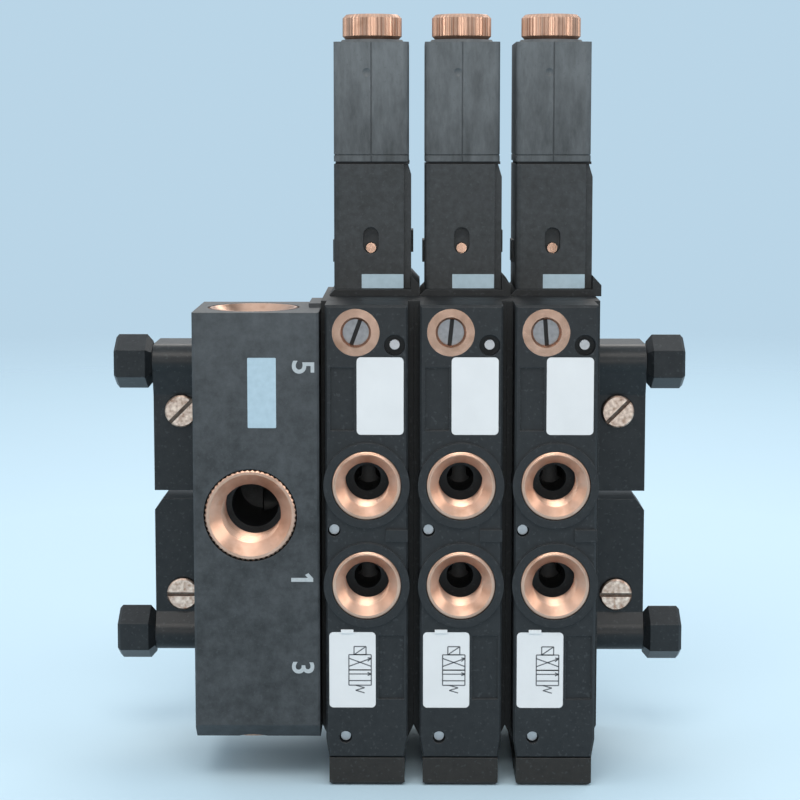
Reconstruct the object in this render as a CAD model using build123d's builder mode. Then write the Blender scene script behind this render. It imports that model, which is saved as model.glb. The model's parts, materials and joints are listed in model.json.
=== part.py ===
"""A row of three solenoid-piloted 5/2 spool valves ganged to an inlet module, on four DIN-rail brackets.

X runs along the row, the ports face -Y, the rail side is the plane Y = 0 and Z is up.
The row stands on the end caps of its valves at Z = 0. All sizes are in millimetres.
"""

from math import atan2, cos, degrees, radians, sin
import os

from build123d import *

os.makedirs("parts", exist_ok=True)

# The row of modules
valve_count = 3
pitch = 18.0
inlet_width = 24.0
seat_gap = 0.02
running_gap = 0.05
stop_gap = 0.1

row_left = -(inlet_width + valve_count * pitch) / 2
row_right = -row_left
valve_centres = [row_left + inlet_width + pitch * (n + 0.5) for n in range(valve_count)]

# Depths from the rail side forward: valve body, front plate, raised bosses of the ports
body_depth = 32.0
plate_thickness = 9.4
boss_height = 0.6
plate_face_depth = body_depth + plate_thickness
front_depth = plate_face_depth + boss_height

# Heights of a valve's front, from the end cap up: screw, marker, ports, marker, pilot port
cap_height = 5.35
low_screw_rise = 4.05
low_marker_rise = 5.9
marker_size = (8.9, 14.8)
low_marker_gap = 1.05
boss_side_gap = 0.8
gallery_step = 9.65
high_marker_gap = 1.55
pilot_marker_gap = 0.2
pilot_insert_radius = 4.5
pilot_drop = 5.2

boss_radius = pitch / 2 - boss_side_gap
low_screw_height = cap_height + low_screw_rise
low_marker_height = low_screw_height + low_marker_rise + marker_size[1] / 2
low_port_height = low_marker_height + marker_size[1] / 2 + low_marker_gap + boss_radius
supply_height = low_port_height + gallery_step
high_port_height = supply_height + gallery_step
high_marker_height = high_port_height + boss_radius + high_marker_gap + marker_size[1] / 2
pilot_height = high_marker_height + marker_size[1] / 2 + pilot_marker_gap + pilot_insert_radius
valve_top = pilot_height + pilot_drop

# Galleries through the row, and the heights of the sleeve's windows, from port 3 up to port 5
gallery_radius = 3.25
gallery_back = 11.0
port_heights = [low_port_height, high_port_height]
gallery_heights = [supply_height + 2 * gallery_step * k for k in (-1, 0, 1)]
row_heights = [supply_height + gallery_step * k for k in (-2, -1, 0, 1, 2)]

# Rings that seal one module to the next, and the plugs at the end of the row
seal_bore_radius = 3.5
seal_radius = 4.7
seal_thickness = 1.0
plug_stem_length = 4.0

# Tie rods through the whole row, outside the galleries, and the knobs on their ends
rod_radius = 2.0
rod_hole_radius = 2.15
rod_back = 10.5
low_rod_gap = 0.75
high_rod_gap = 3.55
knob_corner_radius = 5.55
knob_length = 7.6
knob_end_wall = 1.2
knob_edge = 0.6
knob_neck_edge = 1.2
knob_gap = 0.05

rod_from_gallery = seal_radius + rod_hole_radius
rod_heights = [
    gallery_heights[0] - rod_from_gallery - low_rod_gap,
    gallery_heights[-1] + rod_from_gallery + high_rod_gap,
]
seal_places = [(-gallery_back, z) for z in gallery_heights]
rod_places = [(-rod_back, z) for z in rod_heights]

# Valve body
foot_rise = 3.65
foot_inset = 1.75
groove_radius = 6.2
groove_height = 4.0
port_passage_radius = 2.6
back_pocket_width = 11.0
back_pocket_height = 8.0
back_pocket_depth = 2.5
back_pocket_corner = 1.0

# Spool bore, its ported sleeve and the pilot chamber over it
bore_cover = 13.0
bore_radius = 5.0
chamber_radius = 4.6
chamber_roof = 4.2
sleeve_tail = 14.4
sleeve_head = 12.0
sleeve_bore_radius = 3.25
window_width = 2.4
window_height = 3.4
window_slots = 3

bore_back = body_depth - bore_cover
chamber_top = valve_top - chamber_roof
sleeve_bottom = row_heights[0] - sleeve_tail
sleeve_top = row_heights[-1] + sleeve_head

# Spool: three lands between two guides, and the pilot piston on top
spool_stroke = 3.5
spool_neck_radius = 1.9
land_length = 4.0
land_overlap = 1.0
spool_tail = 10.4
guide_head = 10.0
guide_length = 3.0
piston_length = 4.0

spool_radius = sleeve_bore_radius - running_gap
piston_radius = chamber_radius - running_gap
spool_bottom = row_heights[0] - spool_tail
spool_guide_top = row_heights[-1] + guide_head
spool_top = chamber_top - stop_gap
land_opening = spool_stroke - land_overlap
exhaust_land_bottom = row_heights[-1] - window_height / 2 + land_opening
exhaust_land_top = row_heights[0] + window_height / 2 + land_overlap
spool_lands = [
    (spool_bottom, spool_bottom + guide_length),
    (exhaust_land_top - land_length, exhaust_land_top),
    (supply_height - window_height / 2 + land_opening, supply_height + window_height / 2 + land_overlap),
    (exhaust_land_bottom, exhaust_land_bottom + land_length),
    (spool_guide_top - guide_length, spool_guide_top),
]

# Return spring under the spool
spring_seat = 3.0
spring_wire_radius = 0.35
spring_mean_radius = 2.55
spring_turns = 6

# Raised front plate of each valve
plate_width = 15.7
boss_back = 4.0
plate_foot_width = 14.5
edge_break = 0.4
pad_width = 4.2
pad_height = 2.3
pad_side = (plate_width - pad_width) / 2

# Brass thread inserts in the front plates
insert_radius = 6.65
insert_floor = 1.0
insert_thread_radius = 4.283
insert_mouth_radius = 5.3
insert_mouth_depth = 1.1
insert_length = plate_thickness + boss_height - insert_floor

# Pilot port at the top of each front plate, closed by a slotted plug
pilot_side = -2.0
pilot_insert_floor = 3.4
pilot_thread_radius = 2.5
pilot_mouth_radius = 2.9
pilot_mouth_depth = 0.5
pilot_plug_length = 4.5
pilot_plug_depth = 1.0
plug_slot_width = 0.8
plug_slot_depth = 1.0
plug_slot_angles = [-20.0, -6.0, 4.0]
pilot_passage_radius = 1.0
pilot_insert_length = plate_thickness - pilot_insert_floor

# Small screws that hold the front plate: side, height, radius of the recess round the head
top_screw_drop = 2.4
middle_screw_rise = 0.9
plate_screw_places = [
    (5.35, pilot_height - top_screw_drop, 2.0),
    (-6.2, supply_height + middle_screw_rise, 1.2),
    (-4.1, low_screw_height, 1.2),
]
plate_screw_head_radius = 0.95
plate_screw_head_height = 1.0
plate_screw_sink = 1.2
plate_screw_radius = 0.7
plate_screw_length = 12.0
plate_screw_hole_radius = 0.75
screw_head_base = plate_face_depth - plate_screw_sink - plate_screw_head_height
plate_screw_grip = body_depth - (screw_head_base - plate_screw_length) + seat_gap

# Marker plates, and the empty recesses beside them: side and lift from the valve and the marker
marker_corner = 0.8
marker_gap = 0.1
marker_depth = 0.5
marker_places = [(2.6, high_marker_height), (-2.75, low_marker_height)]
recess_sizes = [(4.6, 12.1), (5.0, 12.5)]
recess_places = [(-4.6, high_marker_height - 0.6), (4.7, low_marker_height + 0.5)]

# End cap under each valve
cap_width = 14.5
cap_edge = 0.5
spigot_radius = bore_radius - seat_gap
spring_pocket_radius = 3.4
cap_screw_radius = 1.25
cap_screw_head_radius = 2.25
cap_screw_head_height = 1.6
cap_screw_head_sink = 0.3
cap_screw_slot_width = 0.7
cap_screw_slot_depth = 0.6
cap_screw_length = 11.0
cap_screw_inset = 3.6
cap_screw_backs = [cap_screw_inset, body_depth - cap_screw_inset]
cap_screw_grip = cap_screw_length - (cap_height - cap_screw_head_height) + seat_gap

# Pilot adaptor between valve and solenoid
solenoid_side = 0.75
solenoid_back = 11.0
adaptor_height = 1.3
adaptor_side = 1.2
adaptor_front = 22.0
adaptor_back = 0.5
adaptor_gap = 0.05
left_shoulder = 1.0
right_shoulder_rise = 2.8
right_shoulder_end = 0.9
pilot_groove_depth = 0.5
nozzle_radius = 1.3
nozzle_height = 0.8
nozzle_bore_radius = 0.5
pilot_drop_radius = 0.8
pilot_drop_inset = 3.5

solenoid_base = valve_top + adaptor_height
adaptor_half = pitch / 2 - adaptor_gap
pilot_drop_back = bore_back - pilot_drop_inset
groove_run = solenoid_back - pilot_drop_back
groove_length = (solenoid_side**2 + groove_run**2) ** 0.5
groove_turn = degrees(atan2(groove_run, -solenoid_side))

# Coil housing
coil_width = 15.3
coil_depth = 20.0
coil_height = 24.8
coil_edge = 1.1
rebate_width = 1.4
rebate_depth = 1.2
coil_slope = (0.75, 2.5)
lug_depth = 7.0
lug_width = 0.45
lug_height = 4.4
right_lug_rise = 7.0
left_lug_rise = 5.0
armature_bore_radius = 3.6
armature_bore_height = 15.0

coil_half = coil_width / 2
coil_front = solenoid_back + coil_depth / 2
coil_top = solenoid_base + coil_height
armature_bore_top = solenoid_base + armature_bore_height

# Armature and its spring
armature_lift = 0.8
armature_spring_bore_radius = 1.6
armature_spring_bore_depth = 5.0
armature_spring_wire_radius = 0.2
armature_spring_mean_radius = 1.2
armature_spring_turns = 5
armature_radius = armature_bore_radius - running_gap
armature_bottom = solenoid_base + nozzle_height + stop_gap
armature_top = armature_bore_top - armature_lift - stop_gap

# Manual override in the slot of the coil housing
override_side = 0.45
override_slot_width = 3.05
override_slot_height = 5.2
override_slot_rise = 9.7
override_slot_depth = 1.6
override_drop = 1.5
override_radius = 1.0
override_proud = 1.0
override_travel = 0.7
override_slot_cut = 0.4
override_slot_cut_width = 0.5

override_slot_middle = solenoid_base + override_slot_rise
override_height = override_slot_middle - override_drop
override_slot_floor = coil_front - override_slot_depth
override_face = override_slot_floor + override_proud
override_length = override_face - solenoid_back - armature_bore_radius - override_travel - stop_gap

# Connector on the coil, its gasket and its cable gland
gasket_thickness = 0.5
gasket_inset = 0.35
gasket_opening = 8.0
connector_width = 14.85
connector_height = 23.5
connector_cavity = (9.0, 13.0, 12.0)
seam_size = 0.2
seam_depth = 0.15
ledge_rise = 1.2
dimple_side = -0.9
dimple_drop = 6.0
dimple_ball_radius = 1.3
dimple_depth = 0.3
collar_height = 0.7
collar_radius = 6.6
collar_top_radius = 6.1
gland_nut_radius = 5.95
gland_nut_height = 5.0
gland_stem_radius = 4.75
gland_stem_length = 4.5
gland_bore_radius = 3.0
gland_edge = 0.7
grommet_length = 4.4
grommet_bore_radius = 2.6
cable_hole_radius = 3.2

connector_bottom = coil_top + gasket_thickness
connector_top = connector_bottom + connector_height
nut_bottom = connector_top + collar_height
stem_bottom = nut_bottom - gland_stem_length
grommet_bottom = stem_bottom - grommet_length
gland_side = solenoid_side - (coil_width - connector_width) / 2
gland_places = [(x + gland_side, -solenoid_back) for x in valve_centres]

# Inlet module at the left end
inlet_top_drop = 1.4
inlet_bottom_rise = 3.55
inlet_port_inset = 10.85
inlet_port_rise = 3.9
inlet_port_land = 19.0
inlet_step_rise = 2.9
inlet_bevel = 3.0
inlet_pad_width = 2.4
inlet_pad_length = 12.0
inlet_pad_height = 0.8
inlet_insert_radius = 8.9
inlet_insert_length = 12.0
inlet_thread_radius = 5.72
inlet_mouth_radius = 6.9
inlet_mouth_depth = 1.2
inlet_passage_radius = 4.6
inlet_end_port_inset = 11.5

inlet_right = row_left + inlet_width
inlet_top = valve_top - inlet_top_drop
inlet_bottom = cap_height + inlet_bottom_rise
inlet_port_side = row_left + inlet_port_inset
inlet_port_height = supply_height + inlet_port_rise
inlet_end_port_back = front_depth - inlet_end_port_inset

# Rail brackets, one above and one below at each end of the row
rail_rise = 0.55
upper_bracket_edge = 2.55
lower_bracket_edge = 0.8
bracket_reach = 11.35
bracket_front = 12.0
bracket_wall = 1.8
upper_web_rise = 3.2
lower_web_rise = 1.0
bracket_web_reach = 1.6
barrel_radius = 3.55
bracket_corner = (1.7, 2.3)
clamp_boss_radius = 3.4
clamp_boss_depth = 1.6
clamp_screw_offset = 19.05
clamp_screw_radius = 1.5
clamp_screw_hole_radius = 1.7
clamp_screw_head_radius = 3.3
clamp_screw_head_height = 1.6
clamp_screw_head_sink = 0.6
clamp_screw_edge = 0.3
clamp_screw_end = 2.6
clamp_slot_width = 0.8
clamp_slot_depth = 0.7
clamp_slot_angles = {1: 45.0, -1: 0.0}

rail_middle = supply_height + rail_rise
bracket_middle = row_right + bracket_reach / 2
bracket_inner = bracket_front - bracket_wall
clamp_head_base = bracket_front - clamp_screw_head_sink
low_rod, high_rod = rod_heights
upper_screw_height = rail_middle + clamp_screw_offset
lower_screw_height = rail_middle - clamp_screw_offset
upper_edge_height = rail_middle + upper_bracket_edge
lower_edge_height = rail_middle + lower_bracket_edge
corners = [
    ("upper_left", -1, 1, upper_edge_height, high_rod, upper_screw_height, upper_web_rise),
    ("upper_right", 1, 1, upper_edge_height, high_rod, upper_screw_height, upper_web_rise),
    ("lower_left", -1, -1, lower_edge_height, low_rod, lower_screw_height, lower_web_rise),
    ("lower_right", 1, -1, lower_edge_height, low_rod, lower_screw_height, lower_web_rise),
]

# Claws behind the brackets, which hook round the edge of the rail
rail_height = 35.0
rail_thickness = 1.0
claw_gap = 0.3
claw_front = 8.0
claw_travel = 2.0
claw_stem_gap = 0.4
claw_half_height = 3.5
claw_lip = 2.5
claw_thickness = 2.3
claw_rail_gap = 0.1
claw_hole_end = 1.5
claw_stem_back = claw_travel + claw_stem_gap


def valve_outline(x, half_width, foot_half_width):
    """Front outline of a valve module, with its foot drawn in at both sides."""
    return [
        (x - half_width, valve_top),
        (x + half_width, valve_top),
        (x + half_width, cap_height + foot_rise),
        (x + foot_half_width, cap_height),
        (x - foot_half_width, cap_height),
        (x - half_width, cap_height + foot_rise),
    ]


# Valve bodies: moulded blocks with the spool bore, the cross galleries and the port passages
def make_valve_body(x, is_last):
    with BuildPart() as body:
        with BuildSketch(Plane.XZ):
            with BuildLine():
                Polyline(*valve_outline(x, pitch / 2, pitch / 2 - foot_inset), close=True)
            make_face()
        extrude(amount=body_depth)
        with BuildSketch(Plane.XY.offset(cap_height)):
            with Locations((x, -bore_back)):
                Circle(bore_radius)
        extrude(amount=sleeve_top - cap_height, mode=Mode.SUBTRACT)
        with BuildSketch(Plane.XY.offset(sleeve_top)):
            with Locations((x, -bore_back)):
                Circle(chamber_radius)
        extrude(amount=chamber_top - sleeve_top, mode=Mode.SUBTRACT)
        for z in row_heights:
            with BuildSketch(Plane.XY.offset(z - groove_height / 2)):
                with Locations((x, -bore_back)):
                    Circle(groove_radius)
            extrude(amount=groove_height, mode=Mode.SUBTRACT)
        with BuildSketch(Plane.YZ.offset(x - pitch / 2)):
            with Locations(*seal_places):
                Circle(gallery_radius)
            with Locations(*rod_places):
                Circle(rod_hole_radius)
        extrude(amount=pitch, mode=Mode.SUBTRACT)
        with BuildSketch(Plane.YZ.offset(x - pitch / 2)):
            with Locations(*seal_places):
                Circle(seal_radius + seat_gap)
        extrude(amount=seal_thickness, mode=Mode.SUBTRACT)
        if is_last:
            with BuildSketch(Plane.YZ.offset(x + pitch / 2)):
                with Locations(*seal_places):
                    Circle(seal_radius + seat_gap)
            extrude(amount=-seal_thickness, mode=Mode.SUBTRACT)
        with BuildSketch(Plane.XZ.offset(body_depth)):
            with Locations(*[(x, z) for z in port_heights]):
                Circle(port_passage_radius)
            with Locations((x + pilot_side, pilot_height - pilot_passage_radius)):
                Circle(pilot_passage_radius)
        extrude(amount=bore_back - body_depth, mode=Mode.SUBTRACT)
        with BuildSketch(Plane.XZ.offset(body_depth)):
            with Locations(*[(x + side, z) for side, z, _ in plate_screw_places]):
                Circle(plate_screw_hole_radius)
        extrude(amount=-plate_screw_grip, mode=Mode.SUBTRACT)
        with BuildSketch(Plane.XY.offset(cap_height)):
            with Locations(*[(x, -y) for y in cap_screw_backs]):
                Circle(cap_screw_radius + seat_gap)
        extrude(amount=cap_screw_grip, mode=Mode.SUBTRACT)
        with BuildSketch(Plane.XY.offset(chamber_top)):
            with Locations((x, -pilot_drop_back)):
                Circle(pilot_drop_radius)
        extrude(amount=valve_top - chamber_top, mode=Mode.SUBTRACT)
        with BuildSketch(Plane.XZ):
            with Locations(*[(x, z) for z in port_heights]):
                RectangleRounded(back_pocket_width, back_pocket_height, back_pocket_corner)
        extrude(amount=back_pocket_depth, mode=Mode.SUBTRACT)
    return body


for n, x in enumerate(valve_centres, start=1):
    valve_body = make_valve_body(x, n == valve_count)
    valve_body.part.label = f"valve_body_{n}"
    export_step(valve_body.part, f"parts/valve_body_{n}.step")


# Front plates: raised blocks that carry the brass inserts, the markers and the small screws
def make_port_plate(x):
    with BuildPart() as plate:
        with BuildSketch(Plane.XZ.offset(body_depth)):
            with BuildLine():
                Polyline(*valve_outline(x, plate_width / 2, plate_foot_width / 2), close=True)
            make_face()
        extrude(amount=plate_thickness)
        chamfer(plate.faces().sort_by(Axis.Y)[0].edges(), edge_break)
        with BuildSketch(Plane.XZ.offset(body_depth + boss_back)):
            with Locations(*[(x, z) for z in port_heights]):
                Circle(boss_radius)
            with Locations((x + pad_side, supply_height)):
                Rectangle(pad_width, pad_height)
        extrude(amount=front_depth - body_depth - boss_back)
        with BuildSketch(Plane.XZ.offset(front_depth)):
            with Locations(*[(x, z) for z in port_heights]):
                Circle(insert_radius + seat_gap)
        extrude(amount=-insert_length, mode=Mode.SUBTRACT)
        with BuildSketch(Plane.XZ.offset(plate_face_depth)):
            with Locations((x + pilot_side, pilot_height)):
                Circle(pilot_insert_radius + seat_gap)
        extrude(amount=-pilot_insert_length, mode=Mode.SUBTRACT)
        with BuildSketch(Plane.XZ.offset(body_depth)):
            with Locations(*[(x, z) for z in port_heights]):
                Circle(port_passage_radius)
            with Locations((x + pilot_side, pilot_height - pilot_passage_radius)):
                Circle(pilot_passage_radius)
        extrude(amount=pilot_insert_floor, mode=Mode.SUBTRACT)
        for side, z, recess_radius in plate_screw_places:
            with BuildSketch(Plane.XZ.offset(screw_head_base)):
                with Locations((x + side, z)):
                    Circle(recess_radius)
            extrude(amount=plate_face_depth - screw_head_base, mode=Mode.SUBTRACT)
            with BuildSketch(Plane.XZ.offset(body_depth)):
                with Locations((x + side, z)):
                    Circle(plate_screw_hole_radius)
            extrude(amount=screw_head_base - body_depth, mode=Mode.SUBTRACT)
        with BuildSketch(Plane.XZ.offset(plate_face_depth)):
            with Locations(*[(x + side, z) for side, z in marker_places]):
                RectangleRounded(marker_size[0] + marker_gap, marker_size[1] + marker_gap, marker_corner)
            for size, (side, z) in zip(recess_sizes, recess_places):
                with Locations((x + side, z)):
                    Rectangle(*size)
        extrude(amount=-marker_depth, mode=Mode.SUBTRACT)
    return plate


for n, x in enumerate(valve_centres, start=1):
    port_plate = make_port_plate(x)
    port_plate.part.label = f"port_plate_{n}"
    export_step(port_plate.part, f"parts/port_plate_{n}.step")


# Brass inserts with the port threads, moulded into the front plates
def insert_section(thread_radius, outer_radius, length, mouth_radius, mouth_depth):
    """Half section of a threaded bush: radius across, depth below its outer face up."""
    return [
        (thread_radius, length),
        (outer_radius, length),
        (outer_radius, 0),
        (mouth_radius, 0),
        (thread_radius, mouth_depth),
    ]


def facing_front(x, depth, z):
    """A frame at a front port whose second axis points into the module."""
    return Plane(origin=(x, -depth, z), x_dir=(1, 0, 0), z_dir=(0, 0, 1))


port_section = insert_section(
    insert_thread_radius, insert_radius, insert_length, insert_mouth_radius, insert_mouth_depth
)
pilot_section = insert_section(
    pilot_thread_radius, pilot_insert_radius, pilot_insert_length, pilot_mouth_radius, pilot_mouth_depth
)

with BuildPart() as port_inserts:
    for x in valve_centres:
        for z in port_heights:
            with BuildSketch(facing_front(x, front_depth, z)):
                with BuildLine():
                    Polyline(*port_section, close=True)
                make_face()
            revolve(axis=Axis((x, 0, z), (0, 1, 0)))
port_inserts.part.label = "port_inserts"
export_step(port_inserts.part, "parts/port_inserts.step")

with BuildPart() as pilot_port_inserts:
    for x in valve_centres:
        with BuildSketch(facing_front(x + pilot_side, plate_face_depth, pilot_height)):
            with BuildLine():
                Polyline(*pilot_section, close=True)
            make_face()
        revolve(axis=Axis((x + pilot_side, 0, pilot_height), (0, 1, 0)))
pilot_port_inserts.part.label = "pilot_port_inserts"
export_step(pilot_port_inserts.part, "parts/pilot_port_inserts.step")

# Slotted grub screws that close the pilot ports, each turned a little differently
plug_front = plate_face_depth - pilot_plug_depth
with BuildPart() as pilot_port_plugs:
    for n, x in enumerate(valve_centres):
        angle = plug_slot_angles[n % len(plug_slot_angles)]
        with BuildSketch(Plane.XZ.offset(plug_front)):
            with Locations((x + pilot_side, pilot_height)):
                Circle(pilot_thread_radius - seat_gap)
        extrude(amount=-pilot_plug_length)
        with BuildSketch(Plane.XZ.offset(plug_front)):
            with Locations(Location((x + pilot_side, pilot_height), angle)):
                Rectangle(plug_slot_width, 2 * pilot_insert_radius)
        extrude(amount=-plug_slot_depth, mode=Mode.SUBTRACT)
pilot_port_plugs.part.label = "pilot_port_plugs"
export_step(pilot_port_plugs.part, "parts/pilot_port_plugs.step")

# Light marker plates, pressed into their recesses
with BuildPart() as marker_plates:
    with BuildSketch(Plane.XZ.offset(plate_face_depth - marker_depth)):
        with Locations(*[(x + side, z) for x in valve_centres for side, z in marker_places]):
            RectangleRounded(*marker_size, marker_corner)
    extrude(amount=marker_depth)
marker_plates.part.label = "marker_plates"
export_step(marker_plates.part, "parts/marker_plates.step")

# Small screws of the front plates
with BuildPart() as plate_screws:
    for x in valve_centres:
        for side, z, _ in plate_screw_places:
            with BuildSketch(Plane.XZ.offset(screw_head_base)):
                with Locations((x + side, z)):
                    Circle(plate_screw_head_radius)
            extrude(amount=plate_screw_head_height)
            with BuildSketch(Plane.XZ.offset(screw_head_base)):
                with Locations((x + side, z)):
                    Circle(plate_screw_radius)
            extrude(amount=-plate_screw_length)
plate_screws.part.label = "plate_screws"
export_step(plate_screws.part, "parts/plate_screws.step")

# Ported sleeves: tubes with five rows of windows, one row at each gallery and port
for n, x in enumerate(valve_centres, start=1):
    with BuildPart() as sleeve:
        with BuildSketch(Plane.XY.offset(sleeve_bottom)):
            with Locations((x, -bore_back)):
                Circle(bore_radius - seat_gap)
                Circle(sleeve_bore_radius, mode=Mode.SUBTRACT)
        extrude(amount=sleeve_top - sleeve_bottom)
        for z in row_heights:
            for slot in range(window_slots):
                turn = radians(180 * slot / window_slots)
                across = Plane(
                    origin=(x, -bore_back, z),
                    x_dir=(0, 0, 1),
                    z_dir=(cos(turn), sin(turn), 0),
                )
                with BuildSketch(across):
                    SlotOverall(window_height, window_width)
                extrude(amount=bore_radius, both=True, mode=Mode.SUBTRACT)
    sleeve.part.label = f"sleeve_{n}"
    export_step(sleeve.part, f"parts/sleeve_{n}.step")

# Spools, each turned from one bar
for n, x in enumerate(valve_centres, start=1):
    with BuildPart() as spool:
        with BuildSketch(Plane.XY.offset(spool_bottom)):
            with Locations((x, -bore_back)):
                Circle(spool_neck_radius)
        extrude(amount=spool_top - spool_bottom)
        for low, high in spool_lands:
            with BuildSketch(Plane.XY.offset(low)):
                with Locations((x, -bore_back)):
                    Circle(spool_radius)
            extrude(amount=high - low)
        with BuildSketch(Plane.XY.offset(spool_top - piston_length)):
            with Locations((x, -bore_back)):
                Circle(piston_radius)
        extrude(amount=piston_length)
    spool.part.label = f"spool_{n}"
    export_step(spool.part, f"parts/spool_{n}.step")


def make_spring(x, back, seat, top, mean_radius, wire_radius, turns):
    """A coil spring between two seats, its end turns resting on them."""
    height = top - seat - 2 * wire_radius
    with BuildPart() as spring:
        with BuildLine() as path:
            Helix(
                pitch=height / turns,
                height=height,
                radius=mean_radius,
                center=(x, -back, seat + wire_radius),
            )
        with BuildSketch(Plane(origin=path.line @ 0, z_dir=path.line % 0)):
            Circle(wire_radius)
        sweep(path=path.line)
    return spring


# Return springs, between the end cap and the foot of the spool
for n, x in enumerate(valve_centres, start=1):
    return_spring = make_spring(
        x, bore_back, spring_seat, spool_bottom, spring_mean_radius, spring_wire_radius, spring_turns
    )
    return_spring.part.label = f"return_spring_{n}"
    export_step(return_spring.part, f"parts/return_spring_{n}.step")

# End caps: blocks under the bodies, with a spigot in the bore that backs the sleeve
for n, x in enumerate(valve_centres, start=1):
    with BuildPart() as end_cap:
        with BuildSketch(Plane.XY):
            with Locations((x, -plate_face_depth / 2)):
                Rectangle(cap_width, plate_face_depth)
        extrude(amount=cap_height)
        foot_edges = end_cap.faces().sort_by(Axis.Z)[0].edges()
        chamfer(foot_edges.sort_by(Axis.Y)[:-1], cap_edge)
        with BuildSketch(Plane.XY.offset(cap_height)):
            with Locations((x, -bore_back)):
                Circle(spigot_radius)
        extrude(amount=sleeve_bottom - cap_height)
        with BuildSketch(Plane.XY.offset(spring_seat)):
            with Locations((x, -bore_back)):
                Circle(spring_pocket_radius)
        extrude(amount=sleeve_bottom - spring_seat, mode=Mode.SUBTRACT)
        with BuildSketch(Plane.XY):
            with Locations(*[(x, -y) for y in cap_screw_backs]):
                Circle(cap_screw_radius + seat_gap)
        extrude(amount=cap_height, mode=Mode.SUBTRACT)
        with BuildSketch(Plane.XY):
            with Locations(*[(x, -y) for y in cap_screw_backs]):
                Circle(cap_screw_head_radius + seat_gap)
        extrude(amount=cap_screw_head_height, mode=Mode.SUBTRACT)
    end_cap.part.label = f"end_cap_{n}"
    export_step(end_cap.part, f"parts/end_cap_{n}.step")

# Screws that hold the end caps, their heads sunk in the caps
with BuildPart() as cap_screws:
    for x in valve_centres:
        for y in cap_screw_backs:
            with BuildSketch(Plane.XY.offset(cap_screw_head_height)):
                with Locations((x, -y)):
                    Circle(cap_screw_head_radius)
            extrude(amount=cap_screw_head_sink - cap_screw_head_height)
            with BuildSketch(Plane.XY.offset(cap_screw_head_height)):
                with Locations((x, -y)):
                    Circle(cap_screw_radius)
            extrude(amount=cap_screw_length)
            with BuildSketch(Plane.XY.offset(cap_screw_head_sink)):
                with Locations((x, -y)):
                    Rectangle(2 * cap_screw_head_radius, cap_screw_slot_width)
            extrude(amount=cap_screw_slot_depth, mode=Mode.SUBTRACT)
cap_screws.part.label = "cap_screws"
export_step(cap_screws.part, "parts/cap_screws.step")

# Rings between the modules, one round each gallery, in the left face of each valve
with BuildPart() as module_seals:
    for x in valve_centres:
        with BuildSketch(Plane.YZ.offset(x - pitch / 2)):
            with Locations(*seal_places):
                Circle(seal_radius)
                Circle(seal_bore_radius, mode=Mode.SUBTRACT)
        extrude(amount=seal_thickness)
module_seals.part.label = "module_seals"
export_step(module_seals.part, "parts/module_seals.step")

# Plugs that close the galleries at the end of the row
with BuildPart() as gallery_plugs:
    with BuildSketch(Plane.YZ.offset(row_right)):
        with Locations(*seal_places):
            Circle(seal_radius)
    extrude(amount=-seal_thickness)
    with BuildSketch(Plane.YZ.offset(row_right - seal_thickness)):
        with Locations(*seal_places):
            Circle(gallery_radius - running_gap)
    extrude(amount=-plug_stem_length)
gallery_plugs.part.label = "gallery_plugs"
export_step(gallery_plugs.part, "parts/gallery_plugs.step")

# Pilot adaptors: plates with sloped shoulders, and the pilot seat under each armature
for n, x in enumerate(valve_centres, start=1):
    middle = x + adaptor_side
    coil_right = x + solenoid_side + coil_half + seat_gap
    with BuildPart() as pilot_adaptor:
        with BuildSketch(Plane.XZ.offset(adaptor_back)):
            with BuildLine():
                Polyline(
                    (middle - adaptor_half, valve_top),
                    (middle + adaptor_half, valve_top),
                    (middle + adaptor_half, solenoid_base + right_shoulder_end),
                    (coil_right, solenoid_base + right_shoulder_rise),
                    (coil_right, solenoid_base),
                    (middle - adaptor_half + left_shoulder, solenoid_base),
                    (middle - adaptor_half, solenoid_base - left_shoulder),
                    close=True,
                )
            make_face()
        extrude(amount=adaptor_front - adaptor_back)
        with BuildSketch(Plane.XY.offset(solenoid_base)):
            with Locations((x + solenoid_side, -solenoid_back)):
                Circle(nozzle_radius)
        extrude(amount=nozzle_height)
        with BuildSketch(Plane.XY.offset(valve_top)):
            with Locations((x + solenoid_side, -solenoid_back)):
                Circle(nozzle_bore_radius)
        extrude(amount=solenoid_base + nozzle_height - valve_top, mode=Mode.SUBTRACT)
        with BuildSketch(Plane.XY.offset(valve_top)):
            with Locations((x + solenoid_side / 2, -(solenoid_back + pilot_drop_back) / 2)):
                SlotCenterToCenter(groove_length, 2 * pilot_drop_radius, rotation=groove_turn)
        extrude(amount=pilot_groove_depth, mode=Mode.SUBTRACT)
    pilot_adaptor.part.label = f"pilot_adaptor_{n}"
    export_step(pilot_adaptor.part, f"parts/pilot_adaptor_{n}.step")

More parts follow.
